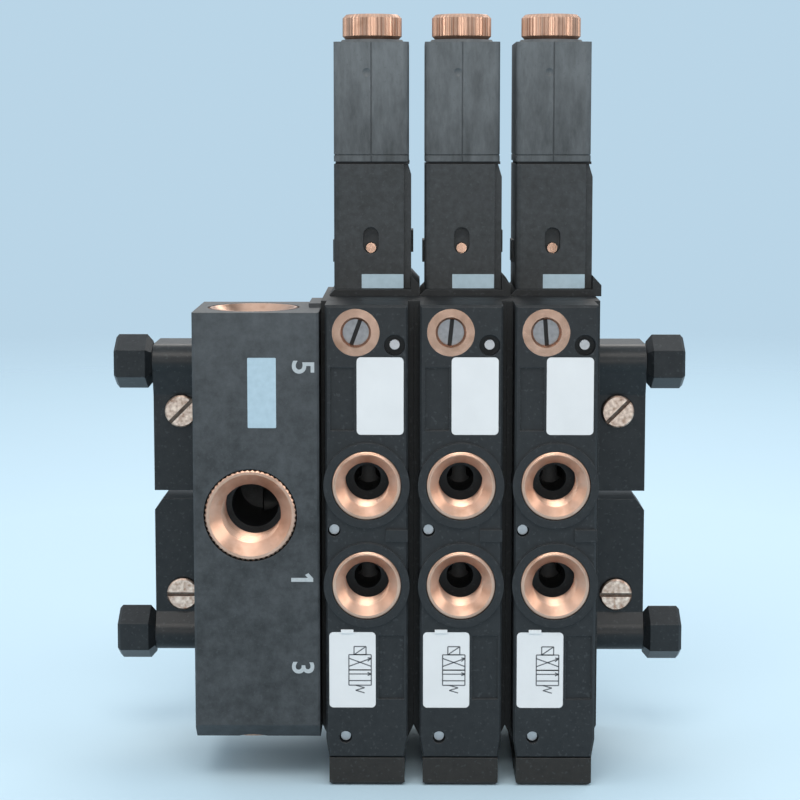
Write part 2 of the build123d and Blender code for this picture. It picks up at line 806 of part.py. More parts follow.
# Coil housings: blocks with the armature bore, the override slot, two side lugs and a rebate at the right
for n, x in enumerate(valve_centres, start=1):
    middle = x + solenoid_side
    with BuildPart() as coil_housing:
        with BuildSketch(Plane.XY.offset(solenoid_base)):
            with Locations((middle, -solenoid_back)):
                RectangleRounded(coil_width, coil_depth, coil_edge)
        extrude(amount=coil_height)
        with BuildSketch(Plane.XZ.offset(coil_front)):
            with Locations((middle + coil_half, solenoid_base + coil_height / 2)):
                Rectangle(2 * rebate_width, coil_height)
        extrude(amount=-rebate_depth, mode=Mode.SUBTRACT)
        with BuildSketch(Plane.XZ.offset(solenoid_back - coil_depth / 2)):
            with BuildLine():
                Polyline(
                    (middle + coil_half - coil_slope[0], coil_top),
                    (middle + coil_half, coil_top),
                    (middle + coil_half, coil_top - coil_slope[1]),
                    close=True,
                )
            make_face()
        extrude(amount=coil_depth, mode=Mode.SUBTRACT)
        for edge, base in ((coil_half, right_lug_rise), (-coil_half, left_lug_rise)):
            with BuildSketch(Plane.XY.offset(solenoid_base + base)):
                with Locations((middle + edge, -solenoid_back)):
                    RectangleRounded(2 * lug_width, lug_depth, lug_width / 2)
            extrude(amount=lug_height)
        with BuildSketch(Plane.XY.offset(solenoid_base)):
            with Locations((middle, -solenoid_back)):
                Circle(armature_bore_radius)
        extrude(amount=armature_bore_top - solenoid_base, mode=Mode.SUBTRACT)
        with BuildSketch(Plane.XZ.offset(coil_front)):
            with Locations((x + override_side, override_slot_middle)):
                SlotOverall(override_slot_height, override_slot_width, rotation=90)
        extrude(amount=-override_slot_depth, mode=Mode.SUBTRACT)
        with BuildSketch(Plane.XZ.offset(override_slot_floor)):
            with Locations((x + override_side, override_height)):
                Circle(override_radius + running_gap)
        extrude(amount=solenoid_back - override_slot_floor, mode=Mode.SUBTRACT)
    coil_housing.part.label = f"coil_housing_{n}"
    export_step(coil_housing.part, f"parts/coil_housing_{n}.step")

# Override buttons: slotted pins at the foot of the slot, pushed in by hand
for n, x in enumerate(valve_centres, start=1):
    with BuildPart() as override_button:
        with BuildSketch(Plane.XZ.offset(override_face)):
            with Locations((x + override_side, override_height)):
                Circle(override_radius)
        extrude(amount=-override_length)
        with BuildSketch(Plane.XZ.offset(override_face)):
            with Locations((x + override_side, override_height)):
                Rectangle(override_slot_cut_width, 2 * override_radius)
        extrude(amount=-override_slot_cut, mode=Mode.SUBTRACT)
    override_button.part.label = f"override_button_{n}"
    export_step(override_button.part, f"parts/override_button_{n}.step")

# Armatures over the pilot seats, each with a small spring in its top
for n, x in enumerate(valve_centres, start=1):
    with BuildPart() as armature:
        with BuildSketch(Plane.XY.offset(armature_bottom)):
            with Locations((x + solenoid_side, -solenoid_back)):
                Circle(armature_radius)
        extrude(amount=armature_top - armature_bottom)
        with BuildSketch(Plane.XY.offset(armature_top)):
            with Locations((x + solenoid_side, -solenoid_back)):
                Circle(armature_spring_bore_radius)
        extrude(amount=-armature_spring_bore_depth, mode=Mode.SUBTRACT)
    armature.part.label = f"armature_{n}"
    export_step(armature.part, f"parts/armature_{n}.step")

for n, x in enumerate(valve_centres, start=1):
    armature_spring = make_spring(
        x + solenoid_side,
        solenoid_back,
        armature_top - armature_spring_bore_depth,
        armature_bore_top,
        armature_spring_mean_radius,
        armature_spring_wire_radius,
        armature_spring_turns,
    )
    armature_spring.part.label = f"armature_spring_{n}"
    export_step(armature_spring.part, f"parts/armature_spring_{n}.step")

# Gaskets between the coil housings and the connectors
with BuildPart() as connector_gaskets:
    with BuildSketch(Plane.XY.offset(coil_top)):
        with Locations(*[(x + solenoid_side, -solenoid_back) for x in valve_centres]):
            Rectangle(coil_width - 2 * gasket_inset, coil_depth - 2 * gasket_inset)
            Rectangle(gasket_opening, gasket_opening, mode=Mode.SUBTRACT)
    extrude(amount=gasket_thickness)
connector_gaskets.part.label = "connector_gaskets"
export_step(connector_gaskets.part, "parts/connector_gaskets.step")

# Connectors: hollow blocks with a conical collar and the threaded bore of the cable gland
cavity_width, cavity_depth, cavity_height = connector_cavity
for n, x in enumerate(valve_centres, start=1):
    middle = x + gland_side
    with BuildPart() as connector:
        with BuildSketch(Plane.XY.offset(connector_bottom)):
            with Locations((middle, -solenoid_back)):
                RectangleRounded(connector_width, coil_depth, coil_edge)
        extrude(amount=connector_height)
        with BuildSketch(Plane.XY.offset(connector_bottom + ledge_rise)):
            with Locations((middle, -solenoid_back)):
                Rectangle(connector_width, coil_depth)
                RectangleRounded(
                    connector_width - 2 * seam_depth,
                    coil_depth - 2 * seam_depth,
                    coil_edge - seam_depth,
                    mode=Mode.SUBTRACT,
                )
        extrude(amount=seam_size, mode=Mode.SUBTRACT)
        with BuildSketch(Plane.XZ.offset(coil_front)):
            with Locations((middle, connector_bottom + connector_height / 2)):
                Rectangle(seam_size, connector_height)
        extrude(amount=-seam_depth, mode=Mode.SUBTRACT)
        dimple_front = coil_front + dimple_ball_radius - dimple_depth
        with Locations((middle + dimple_side, -dimple_front, connector_top - dimple_drop)):
            Sphere(dimple_ball_radius, mode=Mode.SUBTRACT)
        with BuildSketch(Plane.XY.offset(connector_top)):
            with Locations((middle, -solenoid_back)):
                Circle(collar_radius)
        with BuildSketch(Plane.XY.offset(nut_bottom)):
            with Locations((middle, -solenoid_back)):
                Circle(collar_top_radius)
        loft()
        with BuildSketch(Plane.XY.offset(connector_bottom)):
            with Locations((middle, -solenoid_back)):
                Rectangle(cavity_width, cavity_depth)
        extrude(amount=cavity_height, mode=Mode.SUBTRACT)
        with BuildSketch(Plane.XY.offset(connector_bottom)):
            with Locations((middle, -solenoid_back)):
                Circle(cable_hole_radius)
        extrude(amount=nut_bottom - connector_bottom, mode=Mode.SUBTRACT)
        with BuildSketch(Plane.XY.offset(grommet_bottom)):
            with Locations((middle, -solenoid_back)):
                Circle(gland_stem_radius + seat_gap)
        extrude(amount=nut_bottom - grommet_bottom, mode=Mode.SUBTRACT)
    connector.part.label = f"connector_{n}"
    export_step(connector.part, f"parts/connector_{n}.step")

# Rubber bushes that seal on the cable, squeezed by the stems of the gland nuts
with BuildPart() as gland_grommets:
    with BuildSketch(Plane.XY.offset(grommet_bottom)):
        with Locations(*gland_places):
            Circle(gland_stem_radius)
            Circle(grommet_bore_radius, mode=Mode.SUBTRACT)
    extrude(amount=grommet_length)
gland_grommets.part.label = "gland_grommets"
export_step(gland_grommets.part, "parts/gland_grommets.step")

# Gland nuts: round heads over threaded stems, bored for the cable
with BuildPart() as gland_nuts:
    with BuildSketch(Plane.XY.offset(nut_bottom)):
        with Locations(*gland_places):
            Circle(gland_nut_radius)
    extrude(amount=gland_nut_height)
    chamfer(gland_nuts.edges(), gland_edge)
    with BuildSketch(Plane.XY.offset(nut_bottom)):
        with Locations(*gland_places):
            Circle(gland_stem_radius)
    extrude(amount=-gland_stem_length)
    with BuildSketch(Plane.XY.offset(stem_bottom)):
        with Locations(*gland_places):
            Circle(gland_bore_radius)
    extrude(amount=gland_stem_length + gland_nut_height, mode=Mode.SUBTRACT)
gland_nuts.part.label = "gland_nuts"
export_step(gland_nuts.part, "parts/gland_nuts.step")

# Inlet module: the moulded block that feeds the three galleries
with BuildPart() as inlet_body:
    with BuildSketch(Plane.YZ.offset(row_left)):
        with BuildLine():
            Polyline(
                (-front_depth, inlet_top),
                (-inlet_port_land, inlet_top),
                (-inlet_port_land, inlet_top - inlet_step_rise),
                (0, inlet_top - inlet_step_rise),
                (0, inlet_bottom + inlet_step_rise),
                (-inlet_port_land, inlet_bottom + inlet_step_rise),
                (-inlet_port_land, inlet_bottom),
                (-front_depth + inlet_bevel, inlet_bottom),
                (-front_depth, inlet_bottom + inlet_bevel),
                close=True,
            )
        make_face()
    extrude(amount=inlet_width)
    chamfer(inlet_body.edges().filter_by(Axis.Z).group_by(Axis.Y)[0], edge_break)
    with BuildSketch(Plane.XZ.offset(front_depth)):
        with Locations((inlet_port_side, inlet_port_height)):
            Circle(inlet_insert_radius + seat_gap)
    extrude(amount=-inlet_insert_length, mode=Mode.SUBTRACT)
    with BuildSketch(Plane.XZ.offset(front_depth)):
        with Locations((inlet_port_side, inlet_port_height)):
            Circle(inlet_passage_radius)
    extrude(amount=gallery_back - front_depth, mode=Mode.SUBTRACT)
    with BuildSketch(Plane.XY.offset(inlet_top)):
        with Locations((inlet_right - inlet_pad_width / 2, -inlet_port_land - inlet_pad_length / 2)):
            Rectangle(inlet_pad_width, inlet_pad_length)
    extrude(amount=inlet_pad_height)
    for face, inward, gallery in ((inlet_top, -1, gallery_heights[-1]), (inlet_bottom, 1, gallery_heights[0])):
        with BuildSketch(Plane.XY.offset(face)):
            with Locations((inlet_port_side, -inlet_end_port_back)):
                Circle(inlet_insert_radius + seat_gap)
        extrude(amount=inward * inlet_insert_length, mode=Mode.SUBTRACT)
        with BuildSketch(Plane.XY.offset(face)):
            with Locations((inlet_port_side, -inlet_end_port_back)):
                Circle(inlet_passage_radius)
        extrude(amount=gallery - face, mode=Mode.SUBTRACT)
        with BuildSketch(Plane.XZ.offset(inlet_end_port_back)):
            with Locations((inlet_port_side, gallery)):
                Circle(gallery_radius)
        extrude(amount=gallery_back - inlet_end_port_back, mode=Mode.SUBTRACT)
    with BuildSketch(Plane.YZ.offset(inlet_right)):
        with Locations(*seal_places):
            Circle(gallery_radius)
    extrude(amount=inlet_port_side - inlet_right, mode=Mode.SUBTRACT)
    with BuildSketch(Plane.YZ.offset(row_left)):
        with Locations(*rod_places):
            Circle(rod_hole_radius)
    extrude(amount=inlet_width, mode=Mode.SUBTRACT)
inlet_body.part.label = "inlet_body"
export_step(inlet_body.part, "parts/inlet_body.step")

# Brass inserts of the inlet module: one in front, one on top and one below
inlet_section = insert_section(
    inlet_thread_radius, inlet_insert_radius, inlet_insert_length, inlet_mouth_radius, inlet_mouth_depth
)
top_port = (inlet_port_side, -inlet_end_port_back, inlet_top)
bottom_port = (inlet_port_side, -inlet_end_port_back, inlet_bottom)
inlet_port_frames = [
    (facing_front(inlet_port_side, front_depth, inlet_port_height), (0, 1, 0)),
    (Plane(origin=top_port, x_dir=(1, 0, 0), z_dir=(0, 1, 0)), (0, 0, 1)),
    (Plane(origin=bottom_port, x_dir=(1, 0, 0), z_dir=(0, -1, 0)), (0, 0, 1)),
]
with BuildPart() as inlet_port_inserts:
    for frame, direction in inlet_port_frames:
        with BuildSketch(frame):
            with BuildLine():
                Polyline(*inlet_section, close=True)
            make_face()
        revolve(axis=Axis(frame.origin, direction))
inlet_port_inserts.part.label = "inlet_port_inserts"
export_step(inlet_port_inserts.part, "parts/inlet_port_inserts.step")

# Tie rods, which clamp the row together from end to end
rod_half_length = row_right + bracket_reach + knob_gap + knob_length - knob_end_wall
with BuildPart() as tie_rods:
    with BuildSketch(Plane.YZ):
        with Locations(*rod_places):
            Circle(rod_radius)
    extrude(amount=rod_half_length, both=True)
tie_rods.part.label = "tie_rods"
export_step(tie_rods.part, "parts/tie_rods.step")

# Six-sided knobs on the ends of the tie rods
with BuildPart() as tie_knobs:
    for side in (-1, 1):
        knob_start = side * (row_right + bracket_reach + knob_gap)
        with BuildSketch(Plane.YZ.offset(knob_start)):
            with Locations(*rod_places):
                RegularPolygon(radius=knob_corner_radius, side_count=6, rotation=30)
        extrude(amount=side * knob_length)
    end_faces = tie_knobs.faces().filter_by(Axis.X).group_by(Axis.X)
    chamfer((end_faces[0] + end_faces[-1]).edges(), knob_edge)
    chamfer((end_faces[1] + end_faces[-2]).edges(), knob_neck_edge)
    for side in (-1, 1):
        knob_start = side * (row_right + bracket_reach + knob_gap)
        with BuildSketch(Plane.YZ.offset(knob_start)):
            with Locations(*rod_places):
                Circle(rod_radius + seat_gap)
        extrude(amount=side * (knob_length - knob_end_wall), mode=Mode.SUBTRACT)
tie_knobs.part.label = "tie_knobs"
export_step(tie_knobs.part, "parts/tie_knobs.step")

# Rail brackets: moulded shells, open at the back, each with a barrel round its tie rod
def make_bracket(side, up, edge_height, rod_height, screw_height, web_rise):
    """One bracket: side is -1 at the left end of the row, up is -1 below the rail's middle."""
    start = side * row_right
    reach = side * bracket_reach
    outer_height = rod_height + up * barrel_radius
    with BuildPart() as bracket:
        with BuildSketch(Plane.YZ.offset(start)):
            with BuildLine():
                Polyline(
                    (0, edge_height),
                    (-bracket_front, edge_height),
                    (-bracket_front, rod_height - up * (barrel_radius + web_rise)),
                    (-bracket_front - bracket_web_reach, rod_height - up * bracket_web_reach),
                    (-rod_back, rod_height),
                    (-rod_back, outer_height),
                    (0, outer_height),
                    close=True,
                )
            make_face()
        extrude(amount=reach)
        with BuildSketch(Plane.XZ):
            with Locations((side * bracket_middle, (edge_height + outer_height) / 2)):
                Rectangle(
                    bracket_reach - 2 * bracket_wall,
                    abs(outer_height - edge_height) - 2 * bracket_wall,
                )
        extrude(amount=bracket_inner, mode=Mode.SUBTRACT)
        with BuildSketch(Plane.YZ.offset(start)):
            with Locations((-rod_back, rod_height)):
                Circle(barrel_radius)
        extrude(amount=reach)
        with BuildSketch(Plane.XZ.offset(bracket_inner)):
            with Locations((side * bracket_middle, screw_height)):
                Circle(clamp_boss_radius)
        extrude(amount=-clamp_boss_depth)
        with BuildSketch(Plane.XZ.offset(bracket_front)):
            with Locations((side * bracket_middle, screw_height)):
                Circle(clamp_screw_hole_radius)
        extrude(amount=-bracket_wall - clamp_boss_depth, mode=Mode.SUBTRACT)
        with BuildSketch(Plane.XZ.offset(bracket_front)):
            with Locations((side * bracket_middle, screw_height)):
                Circle(clamp_screw_head_radius + running_gap)
        extrude(amount=-clamp_screw_head_sink, mode=Mode.SUBTRACT)
        with BuildSketch(Plane.YZ.offset(start)):
            with Locations((-rod_back, rod_height)):
                Circle(rod_hole_radius)
        extrude(amount=reach, mode=Mode.SUBTRACT)
        if up < 0:
            corner_x = start + reach
            with BuildSketch(Plane.XZ):
                with BuildLine():
                    Polyline(
                        (corner_x, edge_height),
                        (corner_x - side * bracket_corner[0], edge_height),
                        (corner_x, edge_height - bracket_corner[1]),
                        close=True,
                    )
                make_face()
            extrude(amount=bracket_front, mode=Mode.SUBTRACT)
    return bracket


# Claws behind the brackets: a threaded stem in the shell and a lip behind the rail's edge
def make_claw(side, up, screw_height):
    """One claw, drawn up by its clamp screw; side and up are as for its bracket."""
    lip_height = screw_height - up * (clamp_screw_offset - rail_height / 2 + claw_lip)
    rail_clear = screw_height - up * (clamp_screw_offset - rail_height / 2 - claw_gap)
    inner = screw_height - up * claw_half_height
    outer = screw_height + up * claw_half_height
    lip_front = rail_thickness + claw_rail_gap
    with BuildPart() as claw:
        with BuildSketch(Plane.YZ.offset(side * bracket_middle)):
            with BuildLine():
                Polyline(
                    (-claw_front, inner),
                    (-claw_stem_back, inner),
                    (-claw_stem_back, rail_clear),
                    (lip_front, rail_clear),
                    (lip_front, lip_height),
                    (lip_front + claw_thickness, lip_height),
                    (lip_front + claw_thickness, outer),
                    (-claw_front, outer),
                    close=True,
                )
            make_face()
        extrude(amount=bracket_reach / 2 - bracket_wall - claw_gap, both=True)
        with BuildSketch(Plane.XZ.offset(claw_front)):
            with Locations((side * bracket_middle, screw_height)):
                Circle(clamp_screw_radius + running_gap)
        extrude(amount=claw_hole_end - claw_front, mode=Mode.SUBTRACT)
    return claw


for corner, side, up, edge_height, rod_height, screw_height, web_rise in corners:
    rail_bracket = make_bracket(side, up, edge_height, rod_height, screw_height, web_rise)
    rail_bracket.part.label = f"rail_bracket_{corner}"
    export_step(rail_bracket.part, f"parts/rail_bracket_{corner}.step")
    rail_claw = make_claw(side, up, screw_height)
    rail_claw.part.label = f"rail_claw_{corner}"
    export_step(rail_claw.part, f"parts/rail_claw_{corner}.step")

# Slotted clamp screws through the brackets, which draw the claws up to the rail
with BuildPart() as clamp_screws:
    for corner, side, up, edge_height, rod_height, screw_height, web_rise in corners:
        with BuildSketch(Plane.XZ.offset(clamp_head_base)):
            with Locations((side * bracket_middle, screw_height)):
                Circle(clamp_screw_head_radius)
        extrude(amount=clamp_screw_head_height)
        with BuildSketch(Plane.XZ.offset(clamp_head_base)):
            with Locations((side * bracket_middle, screw_height)):
                Circle(clamp_screw_radius)
        extrude(amount=clamp_screw_end - clamp_head_base)
    chamfer(clamp_screws.faces().group_by(Axis.Y)[0].edges(), clamp_screw_edge)
    for corner, side, up, edge_height, rod_height, screw_height, web_rise in corners:
        with BuildSketch(Plane.XZ.offset(clamp_head_base + clamp_screw_head_height)):
            with Locations(Location((side * bracket_middle, screw_height), clamp_slot_angles[up])):
                Rectangle(3 * clamp_screw_head_radius, clamp_slot_width)
        extrude(amount=-clamp_slot_depth, mode=Mode.SUBTRACT)
clamp_screws.part.label = "clamp_screws"
export_step(clamp_screws.part, "parts/clamp_screws.step")
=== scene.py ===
import json
from math import atan2, pi, radians

import bmesh
import bpy
from mathutils import Matrix, Vector


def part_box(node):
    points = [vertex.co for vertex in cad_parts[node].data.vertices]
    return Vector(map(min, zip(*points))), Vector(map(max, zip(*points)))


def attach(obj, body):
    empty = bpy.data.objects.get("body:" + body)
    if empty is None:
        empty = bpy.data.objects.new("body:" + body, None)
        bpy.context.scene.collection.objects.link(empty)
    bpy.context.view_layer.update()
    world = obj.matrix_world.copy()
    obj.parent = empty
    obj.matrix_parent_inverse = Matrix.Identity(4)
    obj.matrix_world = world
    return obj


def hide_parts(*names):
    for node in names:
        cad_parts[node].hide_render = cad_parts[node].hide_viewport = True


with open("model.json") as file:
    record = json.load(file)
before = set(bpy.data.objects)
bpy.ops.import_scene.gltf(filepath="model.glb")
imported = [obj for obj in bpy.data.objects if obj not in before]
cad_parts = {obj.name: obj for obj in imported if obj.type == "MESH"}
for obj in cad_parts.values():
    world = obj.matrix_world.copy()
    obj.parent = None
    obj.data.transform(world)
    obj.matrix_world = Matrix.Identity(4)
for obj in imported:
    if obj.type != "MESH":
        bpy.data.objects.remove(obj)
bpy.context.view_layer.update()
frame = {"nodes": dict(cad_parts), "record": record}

# The view
# The camera stands about 0.37 m in front of the ports, level with the connectors, and looks a little down on the
# row. The photograph was framed below the lens's axis, so part of the framing is a small shift.
mm = 0.001
view_place = Vector((3.25, -407.7, 127.25)) * mm
view_tilt = radians(5.76)
view_yaw = radians(-0.45)
lens_length = 87.8
lens_shift = -0.10

view_data = bpy.data.cameras.new("front_view")
view_data.lens = lens_length
view_data.shift_y = lens_shift
view_data.clip_start = 10 * mm
front_view = bpy.data.objects.new("front_view", view_data)
front_view.location = view_place
front_view.rotation_euler = (pi / 2 - view_tilt, 0, -view_yaw)
bpy.context.scene.collection.objects.link(front_view)
bpy.context.scene.camera = front_view
bpy.context.scene.view_settings.view_transform = "Standard"

# Studio light
# Soft boxes above, at both sides and behind, and a small one in front that lights the bores. The room is pale blue
# where the view looks past the floor, and what it throws on the row is brighter overhead, as from a ceiling.
room_colour = (0.488, 0.665, 0.800)
room_strength = 1.0
side_colour = (0.29, 0.34, 0.38)
overhead_colour = (0.92, 1.00, 1.06)
side_height = 0.0
overhead_height = 0.8
lamp_colour = (1.0, 0.93, 0.86)
lamp_level = 0.85

room = bpy.data.worlds.new("pale_room")
room.use_nodes = True
room_nodes = room.node_tree.nodes
room_links = room.node_tree.links
backdrop = room_nodes["Background"]
backdrop.inputs["Color"].default_value = (*room_colour, 1)
backdrop.inputs["Strength"].default_value = room_strength
glow = room_nodes.new("ShaderNodeBackground")
direction = room_nodes.new("ShaderNodeTexCoord")
height_of = room_nodes.new("ShaderNodeSeparateXYZ")
shade = room_nodes.new("ShaderNodeValToRGB")
shade.color_ramp.elements[0].position = side_height
shade.color_ramp.elements[0].color = (*side_colour, 1)
shade.color_ramp.elements[1].position = overhead_height
shade.color_ramp.elements[1].color = (*overhead_colour, 1)
seen = room_nodes.new("ShaderNodeLightPath")
blend = room_nodes.new("ShaderNodeMixShader")
room_links.new(direction.outputs["Generated"], height_of.inputs[0])
room_links.new(height_of.outputs["Z"], shade.inputs[0])
room_links.new(shade.outputs[0], glow.inputs["Color"])
room_links.new(seen.outputs["Is Camera Ray"], blend.inputs[0])
room_links.new(glow.outputs[0], blend.inputs[1])
room_links.new(backdrop.outputs[0], blend.inputs[2])
room_links.new(blend.outputs[0], room_nodes["World Output"].inputs["Surface"])
bpy.context.scene.world = room


def soft_box(name, place, aim, width, height, power):
    """A rectangular light at a place, in metres, turned to face a point."""
    data = bpy.data.lights.new(name, "AREA")
    data.shape = "RECTANGLE"
    data.size = width
    data.size_y = height
    data.energy = power * lamp_level
    data.color = lamp_colour
    lamp = bpy.data.objects.new(name, data)
    lamp.location = place
    lamp.rotation_euler = (Vector(aim) - Vector(place)).to_track_quat("-Z", "Y").to_euler()
    bpy.context.scene.collection.objects.link(lamp)


row_middle = (0, -0.02, 0.07)
soft_boxes = (
    ("box_above_front", (-0.05, -0.55, 0.75), 0.55, 0.3, 3.5),
    ("box_front", (0.02, -0.75, 0.2), 0.12, 0.12, 0.8),
    ("box_left", (-0.7, -0.45, 0.25), 0.4, 0.6, 1.3),
    ("box_right", (0.75, -0.35, 0.35), 0.3, 0.5, 1.5),
    ("box_behind", (0.1, 0.7, 0.6), 0.7, 0.3, 2.5),
)
for name, place, width, height, power in soft_boxes:
    soft_box(name, place, row_middle, width, height, power)

# Floor
# A pale blue table top under the end caps. It fades into the room towards its rim, so that no edge of it shows.
floor_radius = 0.9
floor_drop = 0.2 * mm
floor_colour = (0.52, 0.69, 0.80)
floor_fade_start = 0.25
floor_fade_end = 0.8
floor_sides = 96
floor_patch = 0.05
floor_patch_share = 0.985
floor_grain = 0.6 * mm
floor_grain_depth = 0.02 * mm


class Signal:
    """One output of a shader node, for arithmetic with numbers and other outputs."""

    def __init__(self, finish, socket):
        self.finish = finish
        self.socket = socket

    def math(self, operation, left, right=0.0):
        return self.finish.node("ShaderNodeMath", {"operation": operation}, [left, right])

    def __add__(self, other):
        return self.math("ADD", self, other)

    def __sub__(self, other):
        return self.math("SUBTRACT", self, other)

    def __rsub__(self, other):
        return self.math("SUBTRACT", other, self)

    def __mul__(self, other):
        return self.math("MULTIPLY", self, other)

    __radd__ = __add__
    __rmul__ = __mul__

    def clamped(self):
        return self.finish.node("ShaderNodeClamp", {}, [self])

    def between(self, low, high):
        """0 below low, 1 above high and a straight slope between them."""
        return ((self - low) * (1 / (high - low))).clamped()


class Finish:
    """A material and short ways to add nodes to it."""

    def __init__(self, name, roughness=0.5, metallic=0.0, specular=0.5):
        self.material = bpy.data.materials.new(name)
        self.material.use_nodes = True
        self.tree = self.material.node_tree
        self.surface = self.tree.nodes["Principled BSDF"]
        self.output = self.tree.nodes["Material Output"]
        self.surface.inputs["Roughness"].default_value = roughness
        self.surface.inputs["Metallic"].default_value = metallic
        self.surface.inputs["Specular IOR Level"].default_value = specular

    def put(self, socket, value):
        if isinstance(value, Signal):
            self.tree.links.new(value.socket, socket)
        elif socket.type == "RGBA" and len(value) == 3:
            socket.default_value = (*value, 1)
        else:
            socket.default_value = value

    def node(self, kind, settings, values, output=0):
        """A node with its settings, then the values or links of its inputs, by number or name."""
        made = self.tree.nodes.new(kind)
        for key, setting in settings.items():
            setattr(made, key, setting)
        named = values.items() if isinstance(values, dict) else enumerate(values)
        for key, value in named:
            self.put(made.inputs[key], value)
        return Signal(self, made.outputs[output])

    def place(self, scale=(1, 1, 1)):
        """Places on the piece, in metres times scale."""
        where = self.node("ShaderNodeTexCoord", {}, {}, "Object")
        return self.node("ShaderNodeMapping", {}, {"Vector": where, "Scale": scale})

    def along(self, axis):
        """A point's own X, Y or Z on the piece, in metres."""
        return self.node("ShaderNodeSeparateXYZ", {}, [self.place()], axis)

    def noise(self, size, detail=3.0, rough=0.5, stretch=(1, 1, 1)):
        """Cloudy noise from 0 to 1 whose patches are about size metres across."""
        values = {"Vector": self.place(stretch), "Scale": 1 / size, "Detail": detail, "Roughness": rough}
        return self.node("ShaderNodeTexNoise", {}, values)

    def mix(self, factor, low, high):
        values = {0: factor, 6: low, 7: high}
        return self.node("ShaderNodeMix", {"data_type": "RGBA"}, values, 2)

    def bump(self, height, distance, strength=1.0, below=None):
        values = {"Height": height, "Distance": distance, "Strength": strength}
        if below:
            values["Normal"] = below
        return self.node("ShaderNodeBump", {}, values)

    def wear(self, **channels):
        """Links or sets the shader's own inputs, by their names with _ for a space."""
        for name, value in channels.items():
            self.put(self.surface.inputs[name.replace("_", " ")], value)
        return self.material


def add_piece(name, bm, material, body):
    """A finished mesh as a named object that rides on a body."""
    mesh = bpy.data.meshes.new(name)
    bm.to_mesh(mesh)
    bm.free()
    mesh.materials.append(material)
    piece = bpy.data.objects.new(name, mesh)
    bpy.context.scene.collection.objects.link(piece)
    if body:
        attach(piece, body)
    return piece


floor_finish = Finish("pale_floor", roughness=0.7)
floor_reach = floor_finish.node("ShaderNodeVectorMath", {"operation": "LENGTH"}, [floor_finish.place()], 1)
clear_view = floor_finish.node("ShaderNodeBsdfTransparent", {}, {})
floor_cloud = floor_finish.noise(floor_patch)
floor_finish.wear(
    Base_Color=floor_finish.mix(floor_cloud, floor_colour, tuple(c * floor_patch_share for c in floor_colour)),
    Normal=floor_finish.bump(floor_finish.noise(floor_grain), floor_grain_depth),
)
floor_mix = floor_finish.node(
    "ShaderNodeMixShader",
    {},
    [
        floor_reach.between(floor_fade_start, floor_fade_end),
        Signal(floor_finish, floor_finish.surface.outputs[0]),
        clear_view,
    ],
)
floor_finish.put(floor_finish.output.inputs["Surface"], floor_mix)
bm = bmesh.new()
bmesh.ops.create_circle(bm, cap_ends=True, segments=floor_sides, radius=floor_radius)
bmesh.ops.translate(bm, verts=bm.verts, vec=(0, 0, -floor_drop))
add_piece("floor", bm, floor_finish.material, None)


# Valve bodies, adaptors and end caps
# The bodies are black glass-filled mouldings with a fine grain and a painted highlight along their edges. The
# end caps are the same stuff, tinted brown as painted shade. Everything is clamped up by the tie rods and screws.
body_black = (0.008, 0.009, 0.010)
body_pale = (0.021, 0.024, 0.026)
# The end caps' brown tint is painted shade over the bodies' black.
cap_painted_shade = (0.012, 0.011, 0.010)
cap_painted_shade_pale = (0.027, 0.025, 0.023)
speck_and_edge_highlight = (0.060, 0.067, 0.073)
body_name = "valve_row"
broad_patch = 9 * mm
grain_size = 0.22 * mm
grain_depth = 0.03 * mm
speck_size = 0.7 * mm
edge_radius = 0.2 * mm


def moulded(name, dark, pale, roughness=0.5, patch=1.6 * mm, streak=(1, 1, 1), painted_top_light=(0.0, 1.0, 0.0)):
    """Moulded plastic in two mottled tones, grained, with a painted highlight along its edges; the last argument
    gives the start, end and strength of a painted lightening towards the top.
    """
    finish = Finish(name, specular=0.32)
    cloud = finish.noise(patch, detail=8.0, rough=0.7, stretch=streak)
    broad = finish.noise(broad_patch)
    fine = finish.noise(grain_size, detail=2.0)
    speck = (finish.noise(speck_size, detail=1.0) - 0.64).between(0, 0.05)
    # Painted light: paler towards the top, from the start to the end height, by the strength given.
    painted_light = finish.along("Z").between(painted_top_light[0], painted_top_light[1]) * painted_top_light[2]
    tone = finish.mix((cloud * 1.5 + broad * 0.4 - 0.62 + painted_light).clamped(), dark, pale)
    tone = finish.mix(speck * 0.3, tone, speck_and_edge_highlight)
    # The bevelled normal rounds the edges' shading; where it turns from the face, a painted highlight lightens their
    # colour.
    bevel_normal = finish.node("ShaderNodeBevel", {"samples": 4}, {"Radius": edge_radius})
    facing = finish.node("ShaderNodeNewGeometry", {}, {}, "Normal")
    turn = finish.node("ShaderNodeVectorMath", {"operation": "DOT_PRODUCT"}, [bevel_normal, facing], 1)
    edge_highlight = (1 - turn).between(0.01, 0.16) * (cloud * 1.3).clamped()
    return finish.wear(
        Base_Color=finish.mix(edge_highlight * 0.7, tone, speck_and_edge_highlight),
        Roughness=roughness - edge_highlight * 0.08 + (cloud - 0.5) * 0.16,
        Normal=finish.bump(fine, grain_depth, 0.6, bevel_normal),
    )


def refinish(names, material):
    """Gives CAD nodes a finish in place of the imported one."""
    for name in names:
        for each in frame["nodes"][name].material_slots:
            each.material = material


valves = (1, 2, 3)
body_finish = moulded("body_moulding", body_black, body_pale, roughness=0.52)
cap_finish = moulded("cap_moulding", cap_painted_shade, cap_painted_shade_pale)
refinish([f"valve_body_{n}" for n in valves], body_finish)
refinish([f"pilot_adaptor_{n}" for n in valves], body_finish)
refinish(["gallery_plugs"], body_finish)
refinish([f"end_cap_{n}" for n in valves], cap_finish)

# Front plates
# Each plate is moulded with a finer mottle than its body and shines a little more.
# Its edges carry a painted highlight that reads as pale lines.
plate_dark = (0.008, 0.010, 0.012)
plate_pale = (0.021, 0.025, 0.028)
plate_finish = moulded("plate_moulding", plate_dark, plate_pale, roughness=0.48, patch=1.2 * mm)
refinish([f"port_plate_{n}" for n in valves], plate_finish)
